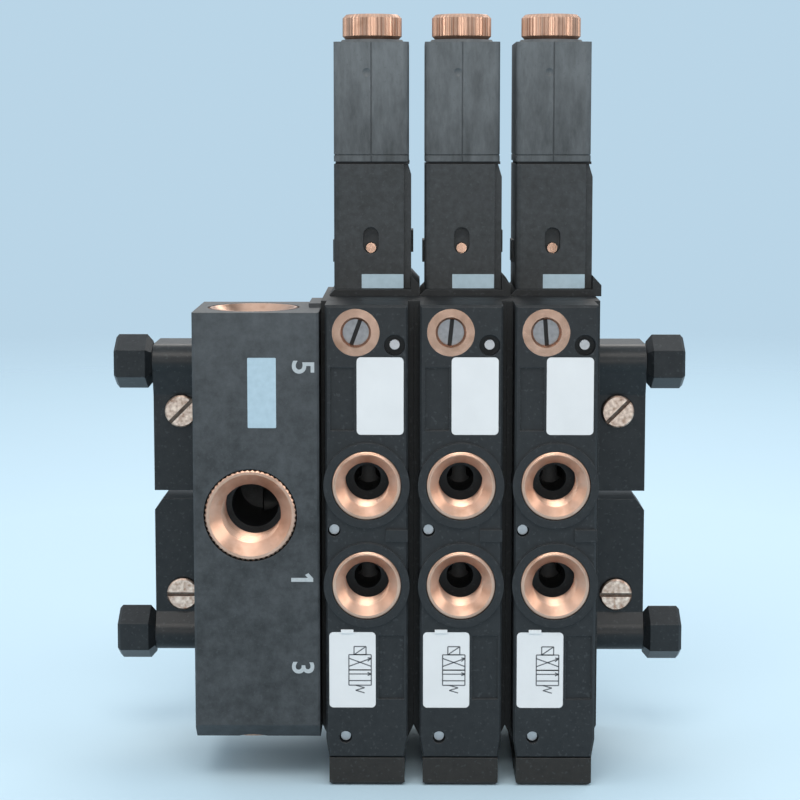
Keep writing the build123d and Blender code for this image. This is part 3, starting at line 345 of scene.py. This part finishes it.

# Solenoids
# The coil is cast in dark grey resin. The connector over it is a paler grey cap with faint upright streaks, and
# painted light makes it palest towards its top. A rubber gasket shows between them as a dark line.
coil_dark = (0.015, 0.018, 0.019)
coil_pale = (0.053, 0.059, 0.065)
connector_dark = (0.032, 0.037, 0.040)
connector_pale = (0.130, 0.143, 0.152)
upright_streak = (1, 1, 0.3)
# Painted light on the connector, palest at its top.
connector_painted_top_light = (122 * mm, 138 * mm, 0.35)
rubber_dark = (0.010, 0.010, 0.011)
rubber_pale = (0.022, 0.022, 0.023)
coil_finish = moulded("coil_resin", coil_dark, coil_pale, roughness=0.45)
connector_finish = moulded(
    "connector_moulding",
    connector_dark,
    connector_pale,
    patch=2.2 * mm,
    streak=upright_streak,
    painted_top_light=connector_painted_top_light,
)
refinish([f"coil_housing_{n}" for n in valves], coil_finish)
refinish([f"connector_{n}" for n in valves], connector_finish)

rubber = Finish("black_rubber", roughness=0.75, specular=0.3)
rubber_finish = rubber.wear(
    Base_Color=rubber.mix(rubber.noise(1.5 * mm), rubber_dark, rubber_pale),
    Normal=rubber.bump(rubber.noise(0.2 * mm), 0.02 * mm, 0.5),
)
refinish(["connector_gaskets", "gland_grommets", "module_seals"], rubber_finish)

# Inlet module and brackets
# The inlet is one block of the bodies' stuff with a greyer mottle, and painted light makes it palest towards its
# top. The brackets and the knobs on the tie rods are a smoother black nylon that shines a little.
inlet_dark = (0.017, 0.020, 0.022)
inlet_pale = (0.072, 0.080, 0.087)
# Painted light on the inlet, palest at its top.
inlet_painted_top_light = (50 * mm, 95 * mm, 0.35)
bracket_dark = (0.008, 0.010, 0.012)
bracket_pale = (0.022, 0.026, 0.029)
corners = ("upper_left", "upper_right", "lower_left", "lower_right")
inlet_finish = moulded("inlet_moulding", inlet_dark, inlet_pale, patch=2.4 * mm, painted_top_light=inlet_painted_top_light)
bracket_finish = moulded("bracket_nylon", bracket_dark, bracket_pale, roughness=0.38)
refinish(["inlet_body"], inlet_finish)
refinish([f"rail_bracket_{corner}" for corner in corners], bracket_finish)
refinish(["tie_knobs"], bracket_finish)

# Steel inside and behind
# Armatures, springs, screws and claws are plated or bright steel, the spools turned aluminium and the sleeves dark
# anodised aluminium. The plugs of the pilot ports are duller steel with painted shade in their slots.
steel_dark = (0.34, 0.34, 0.35)
steel_pale = (0.56, 0.56, 0.57)
alloy_dark = (0.60, 0.60, 0.62)
alloy_pale = (0.78, 0.78, 0.80)
dull_dark = (0.17, 0.17, 0.18)
dull_pale = (0.36, 0.36, 0.37)
# Colour of the painted shade in the slots of plugs and screws.
slot_shade = (0.012, 0.011, 0.010)
plug_slot_start = -40.3 * mm
plug_slot_end = -39.7 * mm
sleeve_dark = (0.030, 0.032, 0.034)
sleeve_pale = (0.060, 0.063, 0.066)
machining_depth = 0.01 * mm

steel = Finish("plated_steel", metallic=1.0)
steel_cloud = steel.noise(1.2 * mm, detail=4.0)
steel_finish = steel.wear(
    Base_Color=steel.mix(steel_cloud, steel_dark, steel_pale),
    Roughness=0.28 + steel_cloud * 0.2,
    Normal=steel.bump(steel.noise(0.12 * mm), machining_depth, 0.5),
)
alloy = Finish("turned_alloy", metallic=1.0)
alloy_lines = alloy.noise(0.08 * mm, detail=1.0, stretch=(0.02, 0.02, 1))
alloy_finish = alloy.wear(
    Base_Color=alloy.mix(alloy_lines, alloy_dark, alloy_pale),
    Roughness=0.22 + alloy_lines * 0.2,
    Normal=alloy.bump(alloy_lines, machining_depth, 0.6),
)
refinish([f"{part}_{n}" for n in valves for part in ("armature", "armature_spring", "return_spring")], steel_finish)
refinish([f"spool_{n}" for n in valves], alloy_finish)
refinish(["plate_screws", "cap_screws", "tie_rods"], steel_finish)
refinish([f"rail_claw_{corner}" for corner in corners], steel_finish)

dull = Finish("dull_steel", metallic=1.0)
dull_cloud = dull.noise(0.9 * mm, detail=4.0)
dull_tone = dull.mix(dull_cloud, dull_dark, dull_pale)
# Painted shade in the plugs' slots, darkest towards their floor.
plug_slot_shade = dull.along("Y").between(plug_slot_start, plug_slot_end)
dull_finish = dull.wear(
    Base_Color=dull.mix(plug_slot_shade * 0.9, dull_tone, slot_shade),
    Roughness=0.36 + dull_cloud * 0.2,
    Normal=dull.bump(dull.noise(0.15 * mm), machining_depth, 0.5),
)
refinish(["pilot_port_plugs"], dull_finish)

anodised = Finish("anodised_sleeve", roughness=0.5, metallic=0.5)
anodised_finish = anodised.wear(
    Base_Color=anodised.mix(anodised.noise(0.8 * mm), sleeve_dark, sleeve_pale),
    Normal=anodised.bump(anodised.noise(0.1 * mm), machining_depth, 0.5),
)
refinish([f"sleeve_{n}" for n in valves], anodised_finish)

# Brass inserts of the ports
# Turned bushes of warm brass, moulded into the plates, each with a chamfered mouth and a right-hand thread. Those
# of the inlet have a serrated rim that grips the plastic.
brass_dark = (0.34, 0.17, 0.10)
brass_mid = (0.50, 0.30, 0.21)
brass_pale = (0.72, 0.48, 0.37)
turning_lines = 9.0
rim_break = 0.25 * mm
rim_roll = 0.25
tooth_depth = 1.4 * rim_break
merge_distance = 0.001 * mm
skin = 0.01 * mm
thread_steps = 60
fine_pitch = 0.907 * mm
coarse_pitch = 1.337 * mm
thread_depth_share = 0.64
thread_shape = ((0, 0), (0, 0.12), (1, 0.5), (1, 0.62))
spare_turns = 4
end_wall = 0.02 * mm


def turned_brass(name, roughness, radius_lines=True):
    """Brass with turning marks along the mesh's own turning value, or without them."""
    finish = Finish(name, metallic=1.0)
    cloud = finish.noise(2.5 * mm)
    tone = finish.mix(cloud, brass_mid, brass_pale)
    grime = (finish.noise(4 * mm, detail=4.0) - 0.55).between(0, 0.2)
    tone = finish.mix(grime * 0.5, tone, brass_dark)
    values = {"Base_Color": tone, "Roughness": roughness + cloud * 0.1}
    if radius_lines:
        reach = finish.node("ShaderNodeAttribute", {"attribute_name": "turning"}, {}, "Fac")
        inputs = {"W": reach * turning_lines, "Detail": 2.0}
        lines = finish.node("ShaderNodeTexNoise", {"noise_dimensions": "1D"}, inputs)
        values["Normal"] = finish.bump(lines, 0.02 * mm, 0.25)
    return finish.wear(**values)


def lathe(bm, profile, steps, rise=0.0):
    """Spins a line of (radius, height) points about Z, climbing by rise a turn."""
    start = [bm.verts.new((radius, 0, height)) for radius, height in profile]
    edges = [bm.edges.new(pair) for pair in zip(start, start[1:])]
    bmesh.ops.spin(
        bm,
        geom=start + edges,
        cent=(0, 0, 0),
        axis=(0, 0, 1),
        dvec=(0, 0, rise / steps),
        angle=2 * pi,
        steps=steps,
        use_merge=rise == 0.0,
    )


def threaded_bush(rim, bore, length, mouth, mouth_depth, pitch, teeth=0):
    """A bush with its outer face at Z = 0 and its body below, threaded from the mouth to the end.

    The thread is made too long, and what passes either end is drawn in to the collar's ring there.
    """
    depth = pitch * thread_depth_share
    root = bore + depth
    end_bore = root + end_wall
    steps = max(thread_steps, 2 * teeth)
    bm = bmesh.new()
    thread = []
    for turn in range(int(length / pitch) + spare_turns):
        top = pitch - turn * pitch
        thread += [(bore + deep * depth, top - below * pitch) for deep, below in thread_shape]
    lathe(bm, thread, steps, rise=pitch)
    for vert in bm.verts:
        if vert.co.z > -mouth_depth:
            vert.co = (*(vert.co.xy.normalized() * bore), -mouth_depth)
        elif vert.co.z < -length:
            vert.co = (*(vert.co.xy.normalized() * end_bore), -length)
    collar = [
        (bore, -mouth_depth),
        (mouth, 0),
        (rim - 2 * rim_break, 0),
        (rim - rim_break, -rim_roll * rim_break),
        (rim, -rim_break),
        (rim, -length),
        (end_bore, -length),
    ]
    lathe(bm, collar, steps)
    bmesh.ops.remove_doubles(bm, verts=bm.verts, dist=merge_distance)
    bmesh.ops.dissolve_degenerate(bm, edges=bm.edges, dist=merge_distance / 10)
    if teeth:
        for vert in bm.verts:
            column = round(vert.co.xy.angle_signed(Vector((1, 0))) / (pi / teeth))
            if vert.co.xy.length > rim - rim_break - skin and column % 2:
                vert.co.xy *= 1 - tooth_depth / rim
    bmesh.ops.recalc_face_normals(bm, faces=bm.faces)
    reach = bm.verts.layers.float.new("turning")
    for vert in bm.verts:
        vert[reach] = (vert.co.xy.length + vert.co.z) / mm
    return bm


def facing(outward):
    """A turn that takes +Z to an outward direction along an axis of the row."""
    return Vector((0, 0, 1)).rotation_difference(Vector(outward)).to_matrix().to_4x4()


def gather(name, parts, material, body):
    """Joins meshes, each with its place, into one piece."""
    whole = bmesh.new()
    for part, place in parts:
        bmesh.ops.transform(part, matrix=place, verts=part.verts)
        step = bpy.data.meshes.new("step")
        part.to_mesh(step)
        part.free()
        whole.from_mesh(step)
        bpy.data.meshes.remove(step)
    return add_piece(name, whole, material, body)


def round_off(piece, angle=radians(30)):
    """Smooth shading that keeps the sharp edges sharp."""
    piece.data.shade_smooth()
    piece.data.set_sharp_from_angle(angle=angle)
    return piece


mounts = {mount["name"]: mount for mount in frame["record"]["mounts"]}
front = (0, -1, 0)
up = (0, 0, 1)
down = (0, 0, -1)
row_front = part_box("port_inserts")[0].y
insert_depth = 9.0 * mm
insert_rim = 6.65 * mm
insert_mouth = 5.9 * mm
insert_mouth_depth = 1.5 * mm
brass_finish = turned_brass("insert_brass", 0.26)

bushes = []
for n in valves:
    for port in (2, 4):
        mount = mounts[f"port_{port}_valve_{n}"]
        bore = mount["dims"]["r_mm"] * mm
        bush = threaded_bush(insert_rim, bore, insert_depth, insert_mouth, insert_mouth_depth, fine_pitch)
        x, y, z = mount["pos_m"]
        bushes.append((bush, Matrix.Translation((x, row_front, z)) @ facing(front)))
port_bushes = round_off(gather("port_bushes", bushes, brass_finish, body_name))
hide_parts("port_inserts")

inlet_depth = 12.0 * mm
inlet_rim = 8.9 * mm
inlet_mouth = 7.9 * mm
inlet_mouth_depth = 2.0 * mm
inlet_teeth = 54
inlet_low, inlet_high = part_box("inlet_port_inserts")
bushes = []
for name, outward, face in (
    ("inlet_port_1", front, inlet_low.y),
    ("inlet_port_5", up, inlet_high.z),
    ("inlet_port_3", down, inlet_low.z),
):
    mount = mounts[name]
    place = Vector(mount["pos_m"])
    place[1 if outward == front else 2] = face
    bore = mount["dims"]["r_mm"] * mm
    bush = threaded_bush(inlet_rim, bore, inlet_depth, inlet_mouth, inlet_mouth_depth, coarse_pitch, inlet_teeth)
    bushes.append((bush, Matrix.Translation(place) @ facing(outward)))
inlet_bushes = round_off(gather("inlet_bushes", bushes, brass_finish, body_name))
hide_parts("inlet_port_inserts")

smooth_brass_finish = turned_brass("plain_brass", 0.18, radius_lines=False)
refinish(["pilot_port_inserts"] + [f"override_button_{n}" for n in valves], smooth_brass_finish)

# Gland nuts
# Round brass nuts with a fine straight knurl round the head, chamfered above and below. Their stems screw down
# into the connectors and squeeze the rubber grommets.
knurls = 44
knurl_depth = 0.16 * mm
nut_edge = 0.7 * mm
nut_stem = 4.75 * mm
nut_rim = 5.95 * mm
nut_head = 5.0 * mm
nut_bore_edge = 0.4 * mm
nut_low, nut_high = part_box("gland_nuts")
nuts = []
for n in valves:
    mount = mounts[f"cable_entry_{n}"]
    x, y, z = mount["pos_m"]
    bore = mount["dims"]["r_mm"] * mm
    base = nut_high.z - nut_head
    profile = [
        (bore, nut_low.z),
        (nut_stem, nut_low.z),
        (nut_stem, base),
        (nut_rim - nut_edge, base),
        (nut_rim, base + nut_edge),
        (nut_rim, nut_high.z - nut_edge),
        (nut_rim - nut_edge, nut_high.z),
        (bore + nut_bore_edge, nut_high.z),
        (bore, nut_high.z - nut_bore_edge),
        (bore, nut_low.z),
    ]
    bm = bmesh.new()
    lathe(bm, profile, 4 * knurls)
    bmesh.ops.remove_doubles(bm, verts=bm.verts, dist=merge_distance)
    for vert in bm.verts:
        column = round(vert.co.xy.angle_signed(Vector((1, 0))) / (pi / (2 * knurls)))
        if vert.co.xy.length > nut_rim - skin and column % 4 in (2, 3):
            vert.co.xy *= 1 - knurl_depth / nut_rim
    bmesh.ops.recalc_face_normals(bm, faces=bm.faces)
    nuts.append((bm, Matrix.Translation((x, y, 0))))
knurl_finish = turned_brass("knurl_brass", 0.32, radius_lines=False)
knurled_nuts = gather("knurled_nuts", nuts, knurl_finish, body_name)
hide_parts("gland_nuts")

# Clamp screws
# Slotted brass screws with a blotched, lightly scratched face.
# The slots are darkened with painted shade.
screw_dark = (0.46, 0.27, 0.19)
screw_pale = (0.97, 0.77, 0.64)
screw_slot_start = -12.9 * mm
screw_slot_end = -12.5 * mm
screw = Finish("screw_brass", metallic=1.0)
screw_cloud = screw.noise(0.8 * mm, detail=5.0)
scratches = screw.noise(0.5 * mm, detail=3.0, stretch=(1, 1, 6))
screw_tone = screw.mix((screw_cloud * 2.6 - 0.8).clamped(), screw_dark, screw_pale)
# Painted shade in the screws' slots, darkest towards their floor.
screw_slot_shade = screw.along("Y").between(screw_slot_start, screw_slot_end)
screw_finish = screw.wear(
    Base_Color=screw.mix(screw_slot_shade * 0.85, screw_tone, slot_shade),
    Roughness=0.22 + screw_cloud * 0.18,
    Normal=screw.bump(scratches, 0.02 * mm, 0.5),
)
refinish(["clamp_screws"], screw_finish)

# Marker plates
# Off-white plastic tags, snapped into the front plates.
# The lower ones carry the valve's graphic symbol and a tab.
tag_dark = (0.60, 0.61, 0.62)
tag_pale = (0.68, 0.69, 0.70)
ink_dark = (0.05, 0.05, 0.06)
ink_pale = (0.16, 0.17, 0.18)
tag = Finish("marker_plastic", roughness=0.45)
tag_cloud = tag.noise(5 * mm, detail=4.0)
tag_finish = tag.wear(
    Base_Color=tag.mix(tag_cloud, tag_dark, tag_pale),
    Roughness=0.4 + tag_cloud * 0.15,
    Normal=tag.bump(tag.noise(0.3 * mm), 0.01 * mm, 0.4),
)
refinish(["marker_plates"], tag_finish)

ink = Finish("grey_ink", roughness=0.55)
ink_finish = ink.wear(
    Base_Color=ink.mix(ink.noise(0.4 * mm, detail=4.0), ink_dark, ink_pale),
)
tag_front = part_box("marker_plates")[0].y
ink_height = 0.02 * mm
line_width = 0.22 * mm


def stroke(bm, start, end, width, face, height):
    """A thin raised bar on a front face, between two (x, z) points."""
    start = Vector(start)
    end = Vector(end)
    run = end - start
    made = bmesh.ops.create_cube(bm, size=1)["verts"]
    turn = Matrix.Rotation(-atan2(run.y, run.x), 4, "Y")
    middle = (start + end) / 2
    scale = Matrix.Diagonal((run.length, height, width, 1))
    place = Matrix.Translation((middle.x, face - height / 2, middle.y))
    bmesh.ops.transform(bm, matrix=place @ turn @ scale, verts=made)


def outline(points):
    """The lines that join points and close them into a ring."""
    return list(zip(points, points[1:] + points[:1]))


symbol_lines = (
    outline([(-0.7, 0), (3.6, 0), (3.6, 3), (-0.7, 3)])
    + outline([(-0.7, -3), (3.6, -3), (3.6, 0), (-0.7, 0)])
    + outline([(0.3, 3), (2.6, 3), (2.6, 4.6), (0.3, 4.6)])
    + [((0.3, 3), (2.6, 4.6)), ((-0.7, 0.7), (3.6, 2.3)), ((3.6, 0.7), (-0.7, 2.3))]
    + [((-0.7, -0.8), (3.6, -0.8)), ((3.6, -2.1), (-0.7, -2.1))]
    + [((0.6, -3), (2.3, -3.5)), ((2.3, -3.5), (0.6, -4)), ((0.6, -4), (2.3, -4.5))]
    + [((2.9, 1.7), (3.6, 2.3)), ((2.9, 2.4), (3.6, 2.3)), ((2.9, -0.5), (3.6, -0.8)), ((2.9, -1.1), (3.6, -0.8))]
)
tag_side = -2.75 * mm
tag_z = 22.7 * mm
tab_start = (-2.2, 7.6)
tab_end = (0.2, 7.6)
tab_width = 0.7 * mm
tab_height = 0.25 * mm
bm = bmesh.new()
tabs = bmesh.new()
for n in valves:
    tag_x = mounts[f"port_2_valve_{n}"]["pos_m"][0] + tag_side
    tag_middle = Vector((tag_x, tag_z))
    for start, end in symbol_lines:
        stroke(bm, tag_middle + Vector(start) * mm, tag_middle + Vector(end) * mm, line_width, tag_front, ink_height)
    start, end = (tag_middle + Vector(point) * mm for point in (tab_start, tab_end))
    stroke(tabs, start, end, tab_width, tag_front, tab_height)
symbols = add_piece("valve_symbols", bm, ink_finish, body_name)
marker_tabs = add_piece("marker_tabs", tabs, tag_finish, body_name)

# Prints and plates on the inlet and coils
# Port numbers are printed in grey, turned to read from the right. The light plates are thin pad prints, bare.
number_dark = (0.28, 0.31, 0.33)
number_pale = (0.46, 0.50, 0.52)
blue_dark = (0.30, 0.41, 0.48)
blue_pale = (0.42, 0.55, 0.63)
print_grey = Finish("grey_print", roughness=0.6)
print_finish = print_grey.wear(
    Base_Color=print_grey.mix(print_grey.noise(0.5 * mm, detail=4.0), number_dark, number_pale),
)
plate_blue = Finish("pale_plate", roughness=0.4)
plate_blue_finish = plate_blue.wear(
    Base_Color=plate_blue.mix(plate_blue.noise(1.2 * mm, detail=4.0), blue_dark, blue_pale),
)
number_height = 4.1 * mm
capital_share = 0.7
number_weight = 0.09 * mm
inlet_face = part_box("inlet_body")[0].y
print_height = 0.02 * mm


def print_number(word, x, z):
    """A number as a thin raised print on the inlet's front, its top turned to the right."""
    curve = bpy.data.curves.new(f"number_{word}", "FONT")
    curve.body = word
    curve.size = number_height / capital_share
    curve.align_x = "CENTER"
    curve.align_y = "CENTER"
    curve.extrude = print_height / 2
    curve.offset = number_weight
    draft = bpy.data.objects.new("draft", curve)
    bpy.context.scene.collection.objects.link(draft)
    depsgraph = bpy.context.evaluated_depsgraph_get()
    mesh = bpy.data.meshes.new_from_object(draft.evaluated_get(depsgraph))
    bpy.data.objects.remove(draft)
    bm = bmesh.new()
    bm.from_mesh(mesh)
    bpy.data.meshes.remove(mesh)
    upright = Matrix.Rotation(pi / 2, 4, "X") @ Matrix.Rotation(-pi / 2, 4, "Z")
    place = Matrix.Translation((x, inlet_face - print_height / 2, z))
    bmesh.ops.transform(bm, matrix=place @ upright, verts=bm.verts)
    bmesh.ops.remove_doubles(bm, verts=bm.verts, dist=merge_distance)
    piece = add_piece(f"number_{word}", bm, print_finish, body_name)


print_number("5", -18.15 * mm, 81.35 * mm)
print_number("3", -18.45 * mm, 23.25 * mm)

one_outline = (
    (-20.4, 40.08),
    (-16.2, 40.08),
    (-16.2, 40.75),
    (-17.1, 41.75),
    (-17.75, 41.4),
    (-17.2, 40.83),
    (-20.4, 40.83),
)
bm = bmesh.new()
drawn = bm.faces.new([bm.verts.new((x * mm, inlet_face, z * mm)) for x, z in one_outline])
raised = bmesh.ops.extrude_face_region(bm, geom=[drawn])["geom"]
raised_points = [each for each in raised if isinstance(each, bmesh.types.BMVert)]
bmesh.ops.translate(bm, verts=raised_points, vec=(0, -print_height, 0))
bmesh.ops.recalc_face_normals(bm, faces=bm.faces)
add_piece("number_1", bm, print_finish, body_name)


def plain_plate(name, low, high, face, corner):
    """A thin bare plate on a front face, from its low to its high (x, z) corner."""
    bm = bmesh.new()
    width = high[0] - low[0]
    height = high[1] - low[1]
    made = bmesh.ops.create_cube(bm, size=1)["verts"]
    place = Matrix.Translation(((low[0] + high[0]) / 2, face - print_height / 2, (low[1] + high[1]) / 2))
    bmesh.ops.transform(bm, matrix=place @ Matrix.Diagonal((width, print_height, height, 1)), verts=made)
    upright = [edge for edge in bm.edges if abs(edge.verts[0].co.y - edge.verts[1].co.y) > print_height / 2]
    bmesh.ops.bevel(bm, geom=upright, offset=corner, affect="EDGES", segments=4, profile=0.5, material=-1)
    piece = add_piece(name, bm, plate_blue_finish, body_name)


inlet_plate_low = (-28.5 * mm, 69.75 * mm)
inlet_plate_high = (-23.1 * mm, 83.15 * mm)
inlet_plate_corner = 0.2 * mm
coil_plate_low = (-1.4 * mm, 0.2 * mm)
coil_plate_high = (6.9 * mm, 3.0 * mm)
coil_plate_corner = 0.1 * mm
plain_plate("inlet_plate", inlet_plate_low, inlet_plate_high, inlet_face, inlet_plate_corner)
for n in valves:
    coil_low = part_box(f"coil_housing_{n}")[0]
    valve_x = mounts[f"port_2_valve_{n}"]["pos_m"][0]
    low, high = ((valve_x + x, coil_low.z + z) for x, z in (coil_plate_low, coil_plate_high))
    plain_plate(f"coil_plate_{n}", low, high, coil_low.y, coil_plate_corner)
